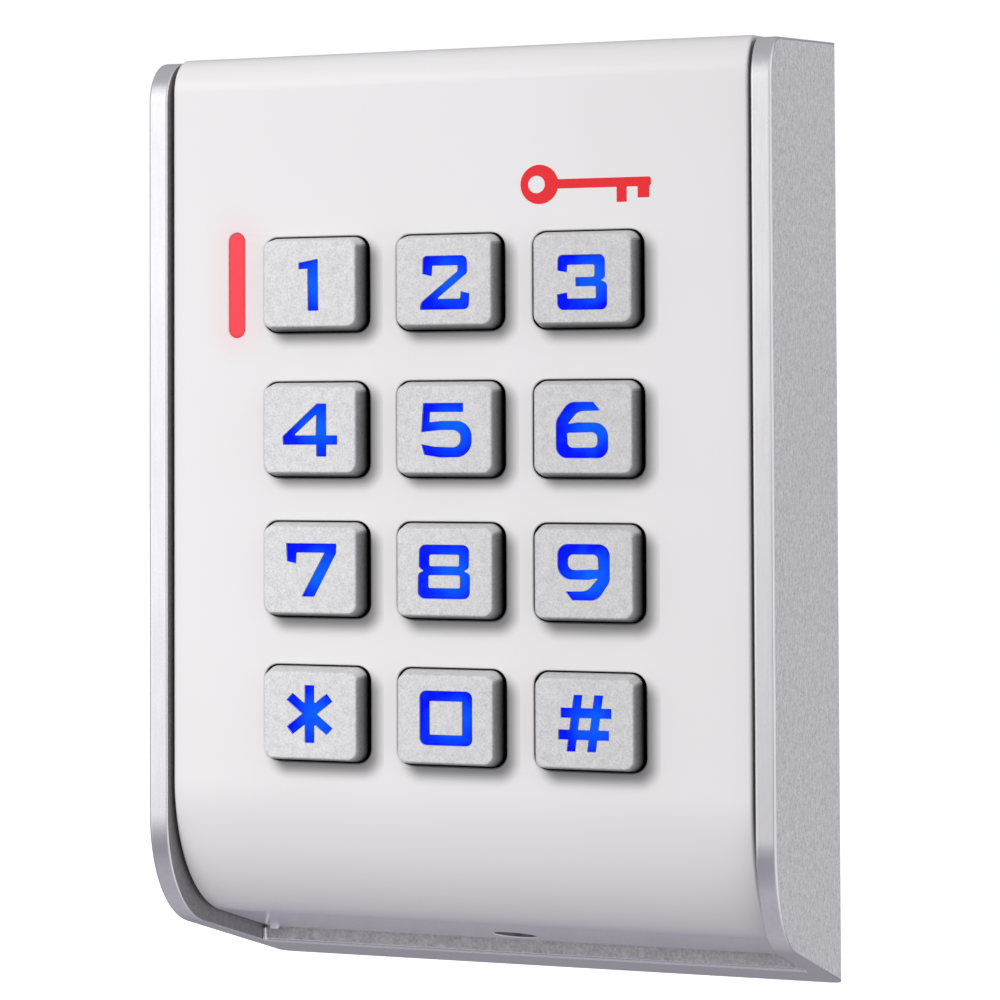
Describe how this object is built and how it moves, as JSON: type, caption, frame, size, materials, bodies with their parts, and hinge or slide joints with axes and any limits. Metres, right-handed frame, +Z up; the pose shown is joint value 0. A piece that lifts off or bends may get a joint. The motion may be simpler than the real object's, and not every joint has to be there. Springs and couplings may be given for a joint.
{
  "type": "keypad access reader",
  "caption": "Wall-mounted access reader: gloss cover between two silver side cheeks, a grid of sprung lit keys, a status bar, internal boards and a wall plate held by a security screw.",
  "frame": {"origin": "centre of the back face, on the wall plane", "axes": "+X to the right seen from the front, +Y into the wall, +Z up"},
  "size_m": [0.077, 0.0442, 0.1204],
  "materials": {
    "housing_silver": "fine-sparkle silver paint, satin",
    "cover_white": "gloss white moulding",
    "lens_red": "translucent red light pipe",
    "key_silver": "grained silver paint, satin",
    "legend_blue": "translucent, lit blue from behind",
    "silicone": "translucent white silicone",
    "plate_grey": "matte dark grey",
    "seal_rubber": "matte black rubber",
    "screw_steel": "zinc-plated steel",
    "board_green": "green solder mask",
    "led_clear": "clear resin",
    "led_red": "red resin",
    "coil_copper": "enamelled copper winding",
    "brass": "turned brass",
    "black_plastic": "matte black moulding",
    "relay_blue": "blue moulding",
    "terminal_green": "green moulding",
    "capacitor_can": "aluminium can",
    "sensor_tan": "ceramic"
  },
  "bodies": {
    "unit": {"housing": "housing_silver", "front_cover": "cover_white", "status_lens": "lens_red", "back_plate": "plate_grey", "rear_seal": "seal_rubber", "cable_grommet": "seal_rubber", "security_screw": "screw_steel", "cover_screws": "screw_steel", "key_mat": "silicone", "key_board": "board_green", "key_leds": "led_clear", "status_leds": "led_red", "reader_coil": "coil_copper", "board_standoffs": "brass", "board_screws": "screw_steel", "main_board": "board_green", "board_header": "black_plastic", "mcu_chip": "black_plastic", "relay": "relay_blue", "buzzer": "black_plastic", "terminal_block": "terminal_green", "capacitors": "capacitor_can", "tamper_sensor": "sensor_tan"},
    "key_1": {"key_1_cap": "key_silver", "key_1_legend": "legend_blue", "key_1_plunger": "silicone"},
    "key_2": {"key_2_cap": "key_silver", "key_2_legend": "legend_blue", "key_2_plunger": "silicone"},
    "key_3": {"key_3_cap": "key_silver", "key_3_legend": "legend_blue", "key_3_plunger": "silicone"},
    "key_4": {"key_4_cap": "key_silver", "key_4_legend": "legend_blue", "key_4_plunger": "silicone"},
    "key_5": {"key_5_cap": "key_silver", "key_5_legend": "legend_blue", "key_5_plunger": "silicone"},
    "key_6": {"key_6_cap": "key_silver", "key_6_legend": "legend_blue", "key_6_plunger": "silicone"},
    "key_7": {"key_7_cap": "key_silver", "key_7_legend": "legend_blue", "key_7_plunger": "silicone"},
    "key_8": {"key_8_cap": "key_silver", "key_8_legend": "legend_blue", "key_8_plunger": "silicone"},
    "key_9": {"key_9_cap": "key_silver", "key_9_legend": "legend_blue", "key_9_plunger": "silicone"},
    "key_star": {"key_star_cap": "key_silver", "key_star_legend": "legend_blue", "key_star_plunger": "silicone"},
    "key_0": {"key_0_cap": "key_silver", "key_0_legend": "legend_blue", "key_0_plunger": "silicone"},
    "key_hash": {"key_hash_cap": "key_silver", "key_hash_legend": "legend_blue", "key_hash_plunger": "silicone"}
  },
  "joints": [
    {"name": "key_1_press", "type": "slide", "parent": "unit", "child": "key_1", "axis": [0, 1, 0], "range_m": [0, 0.0012], "stiffness_N_per_m": 1100, "springref_m": -0.0003},
    {"name": "key_2_press", "type": "slide", "parent": "unit", "child": "key_2", "axis": [0, 1, 0], "range_m": [0, 0.0012], "stiffness_N_per_m": 1100, "springref_m": -0.0003},
    {"name": "key_3_press", "type": "slide", "parent": "unit", "child": "key_3", "axis": [0, 1, 0], "range_m": [0, 0.0012], "stiffness_N_per_m": 1100, "springref_m": -0.0003},
    {"name": "key_4_press", "type": "slide", "parent": "unit", "child": "key_4", "axis": [0, 1, 0], "range_m": [0, 0.0012], "stiffness_N_per_m": 1100, "springref_m": -0.0003},
    {"name": "key_5_press", "type": "slide", "parent": "unit", "child": "key_5", "axis": [0, 1, 0], "range_m": [0, 0.0012], "stiffness_N_per_m": 1100, "springref_m": -0.0003},
    {"name": "key_6_press", "type": "slide", "parent": "unit", "child": "key_6", "axis": [0, 1, 0], "range_m": [0, 0.0012], "stiffness_N_per_m": 1100, "springref_m": -0.0003},
    {"name": "key_7_press", "type": "slide", "parent": "unit", "child": "key_7", "axis": [0, 1, 0], "range_m": [0, 0.0012], "stiffness_N_per_m": 1100, "springref_m": -0.0003},
    {"name": "key_8_press", "type": "slide", "parent": "unit", "child": "key_8", "axis": [0, 1, 0], "range_m": [0, 0.0012], "stiffness_N_per_m": 1100, "springref_m": -0.0003},
    {"name": "key_9_press", "type": "slide", "parent": "unit", "child": "key_9", "axis": [0, 1, 0], "range_m": [0, 0.0012], "stiffness_N_per_m": 1100, "springref_m": -0.0003},
    {"name": "key_star_press", "type": "slide", "parent": "unit", "child": "key_star", "axis": [0, 1, 0], "range_m": [0, 0.0012], "stiffness_N_per_m": 1100, "springref_m": -0.0003},
    {"name": "key_0_press", "type": "slide", "parent": "unit", "child": "key_0", "axis": [0, 1, 0], "range_m": [0, 0.0012], "stiffness_N_per_m": 1100, "springref_m": -0.0003},
    {"name": "key_hash_press", "type": "slide", "parent": "unit", "child": "key_hash", "axis": [0, 1, 0], "range_m": [0, 0.0012], "stiffness_N_per_m": 1100, "springref_m": -0.0003}
  ]
}
